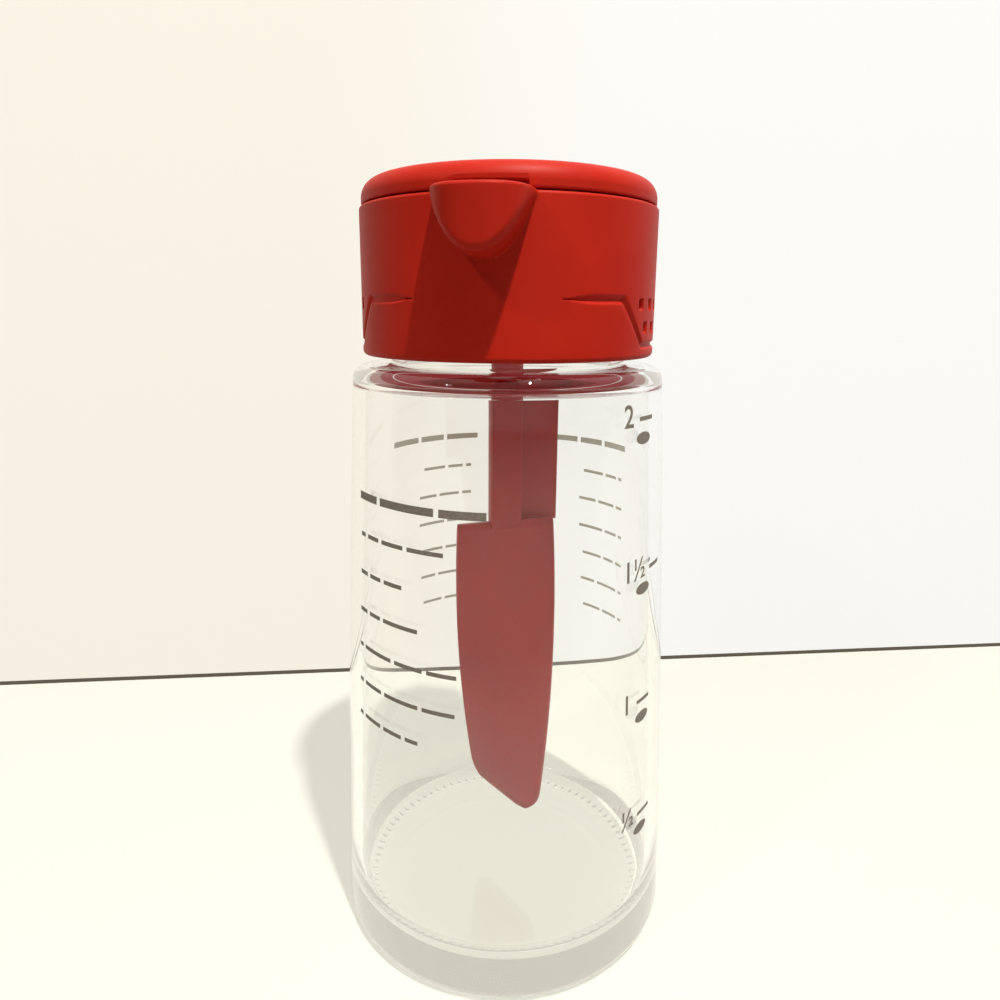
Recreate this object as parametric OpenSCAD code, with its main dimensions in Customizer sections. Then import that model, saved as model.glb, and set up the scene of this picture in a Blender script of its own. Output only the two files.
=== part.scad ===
// Salad dressing shaker bottle: a tapered glass bottle, a twist-on lid with a pouring
// beak and a flip cap, and a mixing blade that plugs into the underside of the lid.
// Millimetres, +Z up, origin at the centre of the resting ring, beak towards -Y.
// Azimuths are degrees from -Y towards +X. Radii are from the bottle's axis.

/* [Glass body] */
// Radius of the glass at its widest line, just above the heel
base_r = 41.5; // [39.5:0.5:45]
// Radius of the glass at the top of its wall
shoulder_r = 35.1; // [34.2:0.1:38]
// How far the wall bows out past a straight taper at half height
wall_bow = 0.4; // [0:0.1:2]
// Height of the shoulder above the table
body_h = 138.5; // [130:0.5:180]
// Thickness of the glass wall
glass_wall = 3; // [2:0.1:4]
// Radius of the rounded heel
heel_round = 3.5; // [2:0.1:5]
// Radius of the rounded shoulder
shoulder_round = 3.2; // [1.5:0.1:4]
// Thickness of the glass floor
floor_t = 7; // [4.5:0.1:10]
// Radius of the rounded corner between wall and floor, inside
floor_round = 8; // [3:0.5:12]
// Width of the flat ring that the bottle rests on
rest_w = 4; // [2:0.5:8]
// Height of the hollow under the base, at its centre
punt_h = 2.2; // [0.5:0.1:3.5]
// Rise of the floor's centre, inside
floor_dome = 1; // [0:0.1:3]

/* [Glass neck] */
// Outer radius of the neck
neck_r = 26.5; // [22:0.5:27]
// Thickness of the neck wall
neck_wall = 2.8; // [2:0.1:4]
// Height of the neck above the shoulder
neck_h = 21.5; // [18:0.5:30]
// Radius of the rounded rim edges
rim_round = 0.8; // [0.3:0.1:1.2]
// Number of lugs round the neck, and of matching lugs in the lid
lug_count = 4; // [3:1:5]
// Length of one lug round the neck, in degrees
lug_arc = 30; // [15:1:32]
// How far a lug stands out from the neck
lug_out = 1.5; // [1:0.1:2]
// Height of one lug
lug_h = 2.2; // [1.5:0.1:3]
// Distance from the rim down to the top of the glass lugs
lug_drop = 7.8; // [5:0.1:10]

/* [Lid collar] */
// Gap between the shoulder and the collar's bottom edge
collar_gap = 2.1; // [1:0.1:4]
// Thickness of the collar wall at its bottom edge
collar_wall = 2.1; // [1.6:0.1:3]
// How far the collar narrows from bottom to top
collar_taper = 0.2; // [0:0.1:0.4]
// Radius of the collar's rounded bottom edge
collar_round = 1; // [0.3:0.1:1.2]
// Radius of the collar's rounded top edge
collar_top_round = 0.6; // [0.2:0.1:0.8]
// Height of the collar's rim above the deck
rim_over_deck = 6.1; // [5:0.1:8]
// Width of the ledge in the collar that the deck sits on
ledge_w = 0.4; // [0.3:0.1:0.6]
// Wall of the ring inside the collar that carries the lugs
lug_ring_wall = 2; // [1.4:0.1:3]

/* [Pouring beak] */
// Half the width of the beak's lip where it leaves the collar
beak_half_w = 9.4; // [7:0.1:13]
// How far the lip reaches past the collar's rim
beak_reach = 10.5; // [6:0.5:12]
// Distance from the lip down to the bottom of the beak
beak_drop = 11.6; // [8:0.1:14]
// How far the beak's bottom edge stands out from the collar
bottom_reach = 9.4; // [6:0.1:10]
// Wall left round the channel in the beak
beak_wall = 1.8; // [1.2:0.1:2.4]

/* [Collar grips] */
// Depth of the grooves in the collar
groove_d = 0.5; // [0.2:0.1:0.9]
// Height of the upper grooves
groove_h = 1.7; // [1:0.1:2.5]
// Height of the upper grooves' middle above the collar's bottom edge
groove_up = 11.8; // [10:0.1:14]
// Azimuth where each upper groove runs out to a point
groove_start = 27; // [24:1:32]
// Azimuth of the corner where each upper groove turns down
groove_corner = 52; // [46:1:54]
// Azimuth where the slanting groove meets the lower groove
grip_edge = 66; // [60:1:70]
// Height of the lower groove's middle above the collar's bottom edge
grip_groove_up = 2.8; // [2.4:0.1:4]
// Height of the lower groove
grip_groove_h = 1.4; // [1:0.1:2]
// Number of pockets in the upper row of each grip
pocket_count = 7; // [4:1:7]
// Angle between neighbouring pockets
pocket_pitch = 8.6; // [7:0.2:8.6]
// Width of one pocket
pocket_w = 2; // [1:0.1:2.8]
// Height of one pocket
pocket_h = 2.4; // [1:0.1:3]
// Depth of one pocket
pocket_d = 0.8; // [0.3:0.1:1]
// Height of the lower row's middle above the collar's bottom edge
pocket_low_up = 6.4; // [5.8:0.1:7]
// Distance between the two rows of pockets
pocket_rows = 4.6; // [3.8:0.1:6]

/* [Deck] */
// Thickness of the deck under the flip cap
deck_t = 3.2; // [2:0.1:5]
// Radius of the pouring hole
pour_r = 6; // [4:0.1:6.5]
// Distance of the pouring hole from the axis
pour_y = 15.5; // [14:0.5:16]
// Radius of the air hole
vent_r = 1.6; // [1:0.1:2.5]
// Distance of the air hole from the axis
vent_y = 16; // [12:0.5:18]
// Depth of the skirt that centres the lid in the neck
skirt_h = 4; // [2:0.5:8]
// Wall of that skirt
skirt_wall = 1.6; // [1:0.1:2.5]
// Thickness of the sealing ring on the glass rim
gasket_t = 1.8; // [1:0.1:3]

/* [Flip cap] */
// Gap of the seam between collar and cap
seam = 0.4; // [0.3:0.1:0.8]
// How far the cap's edge lies inside the collar's rim
cap_inset = 0.5; // [0.3:0.1:1.5]
// Height of the cap at its edge
cap_h = 5.2; // [4.8:0.1:8]
// Rise of the cap's top from edge to centre
cap_dome = 0.5; // [0:0.1:2]
// Radius of the cap's rounded upper edge
cap_round = 3.9; // [2:0.1:4.7]
// Width of the cap's rim outside the plate under it
cap_rim_w = 4; // [3.6:0.1:6]
// Thickness of the plate that closes the cap from below
plate_t = 1.5; // [1:0.1:2]
// Thickness of the cap's top
cap_top_t = 2; // [1.2:0.1:2.5]
// Height of the notch over the beak
notch_h = 1.2; // [0.6:0.1:1.8]
// Half the angle that the notch spans
notch_half = 14.5; // [10:0.5:16]

/* [Hinge] */
// Radius of the hinge pin
pin_r = 1.2; // [0.8:0.1:1.5]
// Radius of the knuckles round the pin
knuckle_r = 2.5; // [2.2:0.1:2.8]
// Width of the whole hinge
hinge_w = 20; // [16:0.5:24]
// Width of the cap's knuckle
cap_knuckle_w = 9; // [6:0.5:11]
// How far the pin lies inside the collar's outer edge
pin_inset = 1.2; // [0.8:0.1:1.4]

/* [Mixing blade] */
// Outer radius of the socket under the lid
socket_r = 3.7; // [3.2:0.1:5]
// Distance from the deck's underside to the socket's mouth
socket_drop = 28.3; // [22:0.1:34]
// Depth of the socket
socket_depth = 14; // [8:0.5:16]
// Radius of the socket's bore
socket_bore_r = 2.5; // [1.8:0.1:2.6]
// Distance from the socket's mouth to the blade's shoulders
stem_len = 32.5; // [15:0.5:36]
// Length of the blade
blade_len = 76; // [50:1:84]
// Width of the blade
blade_w = 24.6; // [16:0.1:30]
// Thickness of the blade
blade_t = 2.4; // [1.6:0.1:3]
// Turn of the blade from its shoulders to its tip, in degrees
blade_turn = 70; // [0:5:90]
// Direction of the blade at its shoulders, in degrees from +X
blade_dir = 28; // [0:1:60]
// Radius of the blade's rounded tip corners
tip_round = 6; // [2:0.5:8]
// Width of the stem's front strip left of its middle
stem_left = 4.2; // [3.5:0.1:6]
// Width of the stem's front strip right of its middle
stem_right = 3.5; // [3:0.1:5]
// Width of the stem's rear strip
rear_w = 11; // [4:0.1:13]
// How far the rear strip is set back behind the front strip
rear_back = 4; // [3.4:0.1:6]
// How much thicker the stem is than the blade
stem_extra = 0.4; // [0.2:0.1:0.8]

/* [Clearances] */
// Gap between the lid's lugs and the glass, each way
lug_play = 0.3; // [0.2:0.05:0.5]
// Gap between pieces of the lid that sit in each other
fit_gap = 0.1; // [0.05:0.05:0.2]
// Gap between the centring skirt and the neck
skirt_play = 0.4; // [0.3:0.05:0.6]
// Gap between the sealing ring and the ring with the lugs
gasket_play = 0.6; // [0.3:0.1:1]
// Gap round a stopper in or over its hole
stopper_gap = 0.3; // [0.2:0.05:0.4]
// Running gap round the hinge pin
pin_play = 0.05; // [0.03:0.01:0.1]
// Gap round and beside the hinge knuckles
hinge_play = 0.35; // [0.3:0.05:0.5]
// Gap between the stem's spigot and the socket
spigot_play = 0.2; // [0.15:0.05:0.3]
// Running gap between the stem's ring and the socket
ring_play = 0.04; // [0.03:0.01:0.1]

/* [Hidden] */
$fn = 96;
hull_fn = 32;
eps = 0.02;
red = [0.78, 0.16, 0.1];
clear_glass = [0.84, 0.93, 0.92, 0.35];
soft_white = [0.93, 0.92, 0.88];
steel = [0.75, 0.75, 0.77];

rim_z = body_h + neck_h;
deck_z = rim_z + gasket_t;
deck_top = deck_z + deck_t;
collar_z = body_h + collar_gap;
collar_top = deck_top + rim_over_deck;
collar_h = collar_top - collar_z;
bore_r = neck_r - neck_wall;
rest_out = base_r - heel_round;
rest_in = rest_out - rest_w;

lug_out_r = neck_r + lug_out;
lug_ring_in = lug_out_r + lug_play;
lug_ring_out = lug_ring_in + lug_ring_wall;
glass_lug_z = rim_z - lug_drop - lug_h;
lid_lug_z = glass_lug_z - lug_play - lug_h;

collar_in = lug_ring_out + fit_gap;
collar_bottom_r = collar_in + collar_wall;
collar_top_r = collar_bottom_r - collar_taper;
chamber_r = collar_in + ledge_w;
deck_r = chamber_r - fit_gap;
skirt_r = bore_r - skirt_play;

lip_z = collar_top;
lip_edge_t = 0.8;
beak_root_y = sqrt(pow(collar_top_r, 2) - pow(beak_half_w, 2)) - 0.3;
beak_shares = [for (k = [-10 : 10]) sin(90 * k / 10)];
lip_tip_y = collar_top_r + beak_reach;
beak_bottom_z = lip_z - beak_drop;
beak_bottom_y = collar_top_r + bottom_reach;
channel_z = deck_top + 0.4;

cap_z = collar_top + seam;
cap_r = collar_top_r - cap_inset;
cap_edge_z = cap_z + cap_h;
plate_r = cap_r - cap_rim_w - fit_gap;
plate_z = cap_z + fit_gap;
hollow_r = cap_r - cap_rim_w;
hollow_ledge = 1.6;
pin_y = collar_top_r - pin_inset;
pin_z = collar_top + seam / 2;
ear_in = cap_knuckle_w / 2 + hinge_play;
knuckle_clear_r = knuckle_r + hinge_play;

flange_z = deck_top + stopper_gap;
flange_t = 1.5;
flange_out = 1.6;
plug_depth = 2.2;
plug_taper = 0.5;
stopper_hub_r = 4;
stopper_hub_h = 3;
post_r = 2.4;
post_in = 1.6;
vent_pad_r = vent_r + 1.6;
vent_post_r = 1.4;

socket_z = deck_z - socket_drop;
spigot_r = socket_bore_r - spigot_play;
spigot_z = socket_z + socket_depth - 1;
stem_top = socket_z - stopper_gap;
blade_top = socket_z - stem_len;
blade_bottom = blade_top - blade_len;
ring_h = 1.4;
ring_groove = 0.5;
ring_z = socket_z + socket_depth / 2;

// Radius of the glass wall's outside at height z
function glass_r(z) =
    let (t = (z - heel_round) / (body_h - shoulder_round - heel_round))
    base_r + (shoulder_r - base_r) * t + 4 * wall_bow * t * (1 - t);

// Radius of the collar's outside at height z
function collar_r(z) = collar_bottom_r - collar_taper * (z - collar_z) / collar_h;

// Points of an arc from angle a0 to a1 round [x, y]
function arc(x, y, r, a0, a1, steps = 8) =
    [for (i = [0 : steps]) let (a = a0 + (a1 - a0) * i / steps) [x + r * cos(a), y + r * sin(a)]];

// Points of a shallow bowl or dome from radius r0 to r1, h high at the axis and falling
// to nothing at radius rim
function dome(r0, r1, z, h, rim, steps = 8) =
    [for (i = [0 : steps]) let (r = r0 + (r1 - r0) * i / steps) [r, z + h * (1 - pow(r / rim, 2))]];

// Point of the channel's outline at angle t from its middle, for a tip and a half width
function channel_x(half_w, t) = half_w * sin(t);
function channel_y(root_y, tip_y, t) = -(root_y + (tip_y - root_y) * cos(t));

// Reach of the beak past its root at share s of its half width: a flattened ellipse
function beak_plan(s) = pow(max(0, 1 - pow(abs(s), 2.6)), 1 / 2.6);

// A ring segment between two azimuths, from a profile drawn as [radius, height]
module sector(from, to) {
    rotate([0, 0, from - 90]) rotate_extrude(angle = to - from) children();
}

// A flat shape drawn as [sideways, height], pushed out along the azimuth from radius r
module radial(az, r, length) {
    rotate([0, 0, az]) translate([0, -r, 0]) rotate([90, 0, 0])
        linear_extrude(length) children();
}

// A bar along X through the hinge axis
module hinge_bar(r, width) {
    translate([0, pin_y, pin_z]) rotate([0, 90, 0]) cylinder(r = r, h = width, center = true);
}

// Copies its children to all four corners, mirrored left to right and front to back
module four_corners() {
    for (side = [0, 1])
        for (back = [0, 1])
            mirror([side, 0, 0]) mirror([0, back, 0]) children();
}

// Outline of the glass, down the outside and up the inside
module glass_profile() {
    wall_top = body_h - shoulder_round;
    inner_top = body_h - glass_wall;
    inner_round = max(shoulder_round - 1, 1);
    inner_wall_top = inner_top - inner_round;
    inner_wall_low = floor_t + floor_round;
    neck_fillet = 1;
    steps = 10;
    polygon(concat(
        dome(0, rest_in, 0, punt_h, rest_in),
        arc(rest_out, heel_round, heel_round, -90, 0),
        [for (i = [1 : steps]) let (z = heel_round + (wall_top - heel_round) * i / steps)
            [glass_r(z), z]],
        arc(shoulder_r - shoulder_round, wall_top, shoulder_round, 0, 90),
        arc(neck_r + neck_fillet, body_h + neck_fillet, neck_fillet, -90, -180, 4),
        arc(neck_r - rim_round, rim_z - rim_round, rim_round, 0, 90, 4),
        arc(bore_r + rim_round, rim_z - rim_round, rim_round, 90, 180, 4),
        arc(bore_r + neck_fillet, inner_top + neck_fillet, neck_fillet, 180, 270, 4),
        arc(glass_r(inner_wall_top) - glass_wall - inner_round, inner_wall_top,
            inner_round, 90, 0, 6),
        [for (i = [steps - 1 : -1 : 1])
            let (z = inner_wall_low + (inner_wall_top - inner_wall_low) * i / steps)
            [glass_r(z) - glass_wall, z]],
        arc(glass_r(inner_wall_low) - glass_wall - floor_round, inner_wall_low,
            floor_round, 0, -90),
        dome(glass_r(inner_wall_low) - glass_wall - floor_round, 0, floor_t, floor_dome,
            glass_r(inner_wall_low) - glass_wall - floor_round)));
}

// One ring of lugs at height z, reaching from r0 to r1
module lugs(z, r0, r1) {
    for (i = [0 : lug_count - 1]) {
        middle = i * 360 / lug_count;
        sector(middle - lug_arc / 2, middle + lug_arc / 2)
            translate([r0, z]) square([r1 - r0, lug_h]);
    }
}

module glass_bottle() {
    color(clear_glass) union() {
        rotate_extrude() glass_profile();
        lugs(glass_lug_z, neck_r - neck_wall / 2, lug_out_r);
    }
}

module rim_gasket() {
    color(soft_white) rotate_extrude()
        translate([bore_r, rim_z]) square([lug_ring_in - gasket_play - bore_r, gasket_t]);
}

module lug_ring() {
    ring_z0 = collar_z + 0.6;
    color(red) union() {
        rotate_extrude() translate([lug_ring_in, ring_z0])
            square([lug_ring_wall, deck_z - ring_z0]);
        lugs(lid_lug_z, neck_r + lug_play, lug_ring_in + lug_ring_wall / 2);
    }
}

module pour_deck() {
    color(red) difference() {
        union() {
            translate([0, 0, deck_z]) cylinder(r = deck_r, h = deck_t);
            translate([0, 0, deck_z - gasket_t - skirt_h])
                cylinder(r = skirt_r, h = gasket_t + skirt_h + eps);
        }
        difference() {
            translate([0, 0, deck_z - gasket_t - skirt_h - 1])
                cylinder(r = skirt_r - skirt_wall, h = gasket_t + skirt_h + 1);
            translate([0, 0, socket_z]) cylinder(r = socket_r, h = socket_drop + 1);
        }
        translate([0, -pour_y, deck_z - 1]) cylinder(r = pour_r, h = deck_t + 2);
        translate([0, vent_y, deck_z - 1]) cylinder(r = vent_r, h = deck_t + 2);
    }
    color(red) difference() {
        translate([0, 0, socket_z]) cylinder(r = socket_r, h = socket_drop);
        translate([0, 0, socket_z - 1]) cylinder(r = socket_bore_r, h = socket_depth + 1);
    }
}

// Outline of the beak seen from above, with its tip at tip_y
module beak_outline(tip_y) {
    polygon([for (s = beak_shares)
        [beak_half_w * s, -(beak_root_y + (tip_y - beak_root_y) * beak_plan(s))]]);
}

// The solid beak: a scoop with a rounded bottom, its front leaning out a little to the lip
module beak_body() {
    intersection() {
        hull() {
            translate([0, 0, lip_z - lip_edge_t]) linear_extrude(lip_edge_t)
                beak_outline(lip_tip_y);
            translate([0, 0, beak_bottom_z - 1]) linear_extrude(eps)
                beak_outline(beak_bottom_y);
        }
        rotate([90, 0, 0]) linear_extrude(lip_tip_y + 1)
            polygon([for (s = beak_shares)
                [beak_half_w * 1.01 * s,
                 beak_bottom_z + (beak_drop - lip_edge_t) * pow(abs(s), 2.2)],
                [beak_half_w * 1.01, lip_z + 1], [-beak_half_w * 1.01, lip_z + 1]]);
    }
}

// The channel that runs from the deck to the lip
module beak_channel() {
    step = 15;
    top_half = beak_half_w - beak_wall;
    low_half = top_half * 0.7;
    low_tip_y = beak_bottom_y - beak_wall - 1;
    hull() {
        translate([0, 0, lip_z]) linear_extrude(1)
            polygon([for (t = [-90 : step : 90])
                [channel_x(top_half, t), channel_y(chamber_r - 4, lip_tip_y - beak_wall, t)]]);
        translate([0, 0, channel_z]) linear_extrude(eps)
            polygon([for (t = [-90 : step : 90])
                [channel_x(low_half, t), channel_y(chamber_r - 4, low_tip_y, t)]]);
    }
}

// An ear on the collar for one end of the hinge pin, with a gusset down the wall
module hinge_ear() {
    ear_w = hinge_w / 2 - ear_in;
    gusset_drop = 8;
    hull() {
        translate([ear_in, pin_y, pin_z]) rotate([0, 90, 0])
            cylinder(r = knuckle_r, h = ear_w, $fn = hull_fn);
        translate([ear_in, chamber_r - 1, pin_z - gusset_drop]) cube([ear_w, 1, 1]);
    }
}

// The pointed upper groove and the slanting one, drawn for the front right corner
module corner_groove() {
    z0 = collar_z + groove_up - groove_h / 2;
    z1 = z0 + groove_h;
    mid = (z0 + z1) / 2;
    low_z = collar_z + grip_groove_up;
    taper = 7;
    lap = 1.5;
    inset = 0.12;
    tip_r = collar_r(mid) - groove_d;
    tip_len = tip_r * sin(taper / 2);
    slant = (groove_corner + grip_edge) / 2;
    slant_half = tip_r * sin((grip_edge - groove_corner) / 2);
    slant_w = groove_h * 0.75;
    radial(groove_start + taper / 2, tip_r, 2)
        polygon([[-tip_len, mid], [tip_len + lap, z0 + inset], [tip_len + lap, z1 - inset]]);
    sector(groove_start + taper, groove_corner + lap)
        polygon([[collar_r(z0) - groove_d, z0], [collar_r(z0) + 1, z0],
                 [collar_r(z1) + 1, z1], [collar_r(z1) - groove_d, z1]]);
    radial(slant, tip_r - 0.2, 2)
        polygon([[-slant_half - slant_w / 2, z1 - inset], [-slant_half - slant_w / 2, z0 + inset],
                 [slant_half - slant_w, low_z], [slant_half + slant_w, low_z]]);
}

// The lower groove under one grip
module grip_groove() {
    z0 = collar_z + grip_groove_up - grip_groove_h / 2;
    z1 = z0 + grip_groove_h;
    lap = 1;
    sector(grip_edge - lap, 180 - grip_edge + lap)
        polygon([[collar_r(z0) - groove_d, z0], [collar_r(z0) + 1, z0],
                 [collar_r(z1) + 1, z1], [collar_r(z1) - groove_d, z1]]);
}

// One row of pockets centred on azimuth 90, at height z
module pocket_row(count, z) {
    for (i = [0 : count - 1])
        radial(90 + (i - (count - 1) / 2) * pocket_pitch, collar_r(z) - pocket_d, 2)
            translate([-pocket_w / 2, z - pocket_h / 2]) square([pocket_w, pocket_h]);
}

module grip_pockets() {
    low_z = collar_z + pocket_low_up;
    for (side = [0, 1])
        mirror([side, 0, 0]) {
            pocket_row(pocket_count, low_z + pocket_rows);
            pocket_row(pocket_count - 1, low_z);
        }
}

module collar_shell() {
    rotate_extrude() polygon(concat(
        [[0, collar_z]],
        arc(collar_bottom_r - collar_round, collar_z + collar_round, collar_round, -90, 0, 6),
        arc(collar_top_r - collar_top_round, collar_top - collar_top_round,
            collar_top_round, 0, 90, 4),
        [[0, collar_top]]));
}

module lid_collar() {
    color(red) difference() {
        union() {
            collar_shell();
            beak_body();
            for (side = [0, 1]) mirror([side, 0, 0]) hinge_ear();
        }
        translate([0, 0, collar_z - 1]) cylinder(r = collar_in, h = collar_h + 2);
        translate([0, 0, deck_z]) cylinder(r = chamber_r, h = collar_h);
        beak_channel();
        four_corners() corner_groove();
        for (side = [0, 1]) mirror([side, 0, 0]) grip_groove();
        grip_pockets();
        hinge_bar(knuckle_clear_r, 2 * ear_in);
        hinge_bar(pin_r + pin_play, hinge_w + 2);
    }
}

module hinge_pin() {
    color(steel) hinge_bar(pin_r, hinge_w);
}

// Outline of the cap as a full solid
module cap_profile() {
    edge_break = 0.4;
    polygon(concat(
        [[0, cap_z]],
        arc(cap_r - edge_break, cap_z + edge_break, edge_break, -90, 0, 3),
        arc(cap_r - cap_round, cap_edge_z - cap_round, cap_round, 0, 90, 10),
        dome(cap_r - cap_round, 0, cap_edge_z, cap_dome, cap_r - cap_round)));
}

module flip_cap() {
    ear_span = hinge_w / 2 + hinge_play - cap_knuckle_w / 2;
    hollow_top = cap_edge_z - cap_top_t;
    color(red) difference() {
        union() {
            difference() {
                rotate_extrude() cap_profile();
                translate([0, 0, cap_z - 1]) cylinder(r = hollow_r, h = plate_z + plate_t - cap_z + 1);
                translate([0, 0, cap_z]) cylinder(r = hollow_r - hollow_ledge, h = hollow_top - cap_z);
                for (side = [0, 1])
                    mirror([side, 0, 0])
                        translate([cap_knuckle_w / 2 + ear_span / 2, 0, 0])
                            hinge_bar(knuckle_clear_r, ear_span);
                sector(-notch_half, notch_half)
                    translate([cap_r - 2.5, cap_z - 1]) square([4, notch_h + 1]);
            }
            hinge_bar(knuckle_r, cap_knuckle_w);
        }
        hinge_bar(pin_r + pin_play, cap_knuckle_w + 2);
    }
}

// The plate that closes the cap from below, with a post for each stopper
module cap_plate() {
    spout_post_z = flange_z + flange_t + stopper_hub_h - post_in;
    vent_post_z = flange_z + flange_t;
    color(red) union() {
        translate([0, 0, plate_z]) cylinder(r = plate_r, h = plate_t);
        translate([0, -pour_y, spout_post_z]) cylinder(r = post_r, h = plate_z + eps - spout_post_z);
        translate([0, vent_y, vent_post_z]) cylinder(r = vent_post_r, h = plate_z + eps - vent_post_z);
    }
}

module spout_stopper() {
    hub_z = flange_z + flange_t;
    plug_r = pour_r - stopper_gap;
    plug_h = plug_depth + stopper_gap;
    color(soft_white) translate([0, -pour_y, 0]) difference() {
        union() {
            translate([0, 0, flange_z - plug_h])
                cylinder(r1 = plug_r - plug_taper, r2 = plug_r, h = plug_h + eps);
            translate([0, 0, flange_z]) cylinder(r = plug_r + flange_out, h = flange_t);
            translate([0, 0, hub_z - eps]) cylinder(r = stopper_hub_r, h = stopper_hub_h + eps);
        }
        translate([0, 0, hub_z + stopper_hub_h - post_in])
            cylinder(r = post_r, h = post_in + 1);
    }
}

module vent_stopper() {
    color(soft_white) translate([0, vent_y, flange_z]) cylinder(r = vent_pad_r, h = flange_t);
}

// Cross section of the stem: a strip in front, a strip set back, and a web between them
module stem_section() {
    half = (blade_t + stem_extra) / 2;
    polygon([[-stem_left, -half], [stem_right, -half], [stem_right, rear_back - half],
             [stem_right + rear_w, rear_back - half], [stem_right + rear_w, rear_back + half],
             [stem_right - 2 * half, rear_back + half], [stem_right - 2 * half, half],
             [-stem_left, half]]);
}

// The twisted blade, its lower corners rounded by a turned envelope
module blade() {
    overlap = 0.5;
    reach = blade_w / 2;
    intersection() {
        translate([0, 0, blade_bottom]) rotate([0, 0, blade_dir - blade_turn])
            linear_extrude(blade_len, twist = -blade_turn, slices = 24, $fn = 4)
                square([blade_w, blade_t], center = true);
        rotate_extrude() polygon(concat(
            [[0, blade_bottom - overlap]],
            arc(reach - tip_round, blade_bottom + tip_round, tip_round, -90, 0, 8),
            [[reach + 1, blade_bottom + tip_round], [reach + 1, blade_top + overlap],
             [0, blade_top + overlap]]));
    }
}

module agitator() {
    root = 1.5;
    color(red) union() {
        blade();
        translate([0, 0, blade_top - root]) rotate([0, 0, blade_dir])
            linear_extrude(stem_top - blade_top + root) stem_section();
        difference() {
            translate([0, 0, stem_top - root]) cylinder(r = spigot_r, h = spigot_z - stem_top + root);
            translate([0, 0, ring_z]) difference() {
                cylinder(r = spigot_r + 1, h = ring_h);
                cylinder(r = spigot_r - ring_groove, h = ring_h);
            }
        }
    }
}

module stem_ring() {
    color(soft_white) rotate_extrude()
        translate([spigot_r - ring_groove, ring_z])
            square([socket_bore_r - ring_play - spigot_r + ring_groove, ring_h]);
}

glass_bottle();
rim_gasket();
lug_ring();
pour_deck();
lid_collar();
hinge_pin();
flip_cap();
cap_plate();
spout_stopper();
vent_stopper();
agitator();
stem_ring();
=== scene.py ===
import math

import bmesh
import bpy
import numpy as np
from mathutils import Matrix, Vector


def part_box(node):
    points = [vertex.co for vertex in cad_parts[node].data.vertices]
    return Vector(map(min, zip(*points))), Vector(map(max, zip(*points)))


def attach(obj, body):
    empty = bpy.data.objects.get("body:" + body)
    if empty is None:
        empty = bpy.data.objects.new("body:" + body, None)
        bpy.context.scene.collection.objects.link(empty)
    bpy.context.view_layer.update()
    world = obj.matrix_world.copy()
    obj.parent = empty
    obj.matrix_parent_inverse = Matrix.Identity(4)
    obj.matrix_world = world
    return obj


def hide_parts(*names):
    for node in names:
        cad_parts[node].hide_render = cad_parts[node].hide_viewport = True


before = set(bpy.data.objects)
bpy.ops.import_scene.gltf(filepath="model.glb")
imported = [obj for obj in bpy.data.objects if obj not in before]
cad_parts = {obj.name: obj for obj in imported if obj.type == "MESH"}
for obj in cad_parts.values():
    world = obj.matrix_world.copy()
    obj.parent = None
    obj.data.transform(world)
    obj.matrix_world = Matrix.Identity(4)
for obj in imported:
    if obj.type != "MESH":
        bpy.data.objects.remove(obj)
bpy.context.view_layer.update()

# Lengths of the pieces and of the camera are millimetres, and become metres in the scene.
# Stage, lamps and finishes are in metres. Azimuths are degrees from -Y, where the beak points,
# towards +X.
MM = 0.001


def node_box(node):
    """Lowest and highest corner of a CAD node, in millimetres."""
    low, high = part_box(node)
    return np.array(low) / MM, np.array(high) / MM


# Glass
base_r = node_box("glass_bottle")[1][0]
rim_z = node_box("glass_bottle")[1][2]
shoulder_r = 35.1
wall_bow = 0.4
body_h = rim_z - 21.5
glass_wall = 3.0
heel_round = 3.5
shoulder_round = 3.2
floor_t = 7.0
floor_round = 8.0
floor_dome = 1.0
rest_w = 4.0
punt_h = 2.2
neck_r = 26.5
bore_r = 23.7
rim_round = 0.8
lug_count = 4
lug_arc = 30.0
lug_out = 1.5
lug_h = 2.2
lug_z = rim_z - 7.8 - lug_h
tick_count = 88
tick_depth = 0.4

# Collar and beak
fit_gap = 0.1
deck_z = node_box("rim_gasket")[1][2]
deck_top = node_box("pour_deck")[1][2]
collar_z = node_box("lid_collar")[0][2]
collar_top = deck_top + 6.1
collar_bottom_r = node_box("lid_collar")[1][0]
collar_top_r = collar_bottom_r - 0.2
collar_in = node_box("lug_ring")[1][0] + fit_gap
chamber_r = node_box("pour_deck")[1][0] + fit_gap
beak_half_w = 9.4
beak_tip = -node_box("lid_collar")[0][1]
under_z = collar_top - 11.6
under_tip = collar_top_r + 9.4
under_round = 2.0
lip_power = 2.6
under_power = 2.2
lip_edge = 0.8
channel_z = deck_top + 0.4
groove_d = 0.55
pocket_d = 0.9

# Cap and hinge
cap_z = collar_top + 0.4
cap_r = node_box("flip_cap")[1][0]
cap_top = node_box("flip_cap")[1][2]
cap_edge_z = cap_top - 0.5
cap_round = 3.9
cap_hollow_r = node_box("cap_plate")[1][0] + fit_gap
cap_ledge_z = cap_z + 1.6
cap_ceiling_z = cap_edge_z - 2.0
notch_h = 1.2
notch_half = 14.5
ear_gap = 0.35
pin_y, pin_z = np.mean(node_box("hinge_pin"), axis=0)[1:]
pin_bore = 1.25
knuckle_r = 2.5
knuckle_clear = 2.85
cap_knuckle_w = 9.0
ear_in = 4.85
ear_out = node_box("hinge_pin")[1][0]

# Mixing blade
socket_z = 133.5
blade_top = socket_z - 32.5
blade_bottom = node_box("agitator")[0][2]
blade_half = 12.3
blade_t = 2.4
blade_dir = 28.0
blade_turn = 70.0
stem_t = 2.8
stem_left = 4.2
stem_right = 3.5
rear_w = 11.0
rear_back = 4.0
tip_round = 6.0
spigot_r = 2.3
spigot_top = node_box("agitator")[1][2]

# Print on the glass
ink_lift = 0.04
print_gap = 1.1

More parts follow.
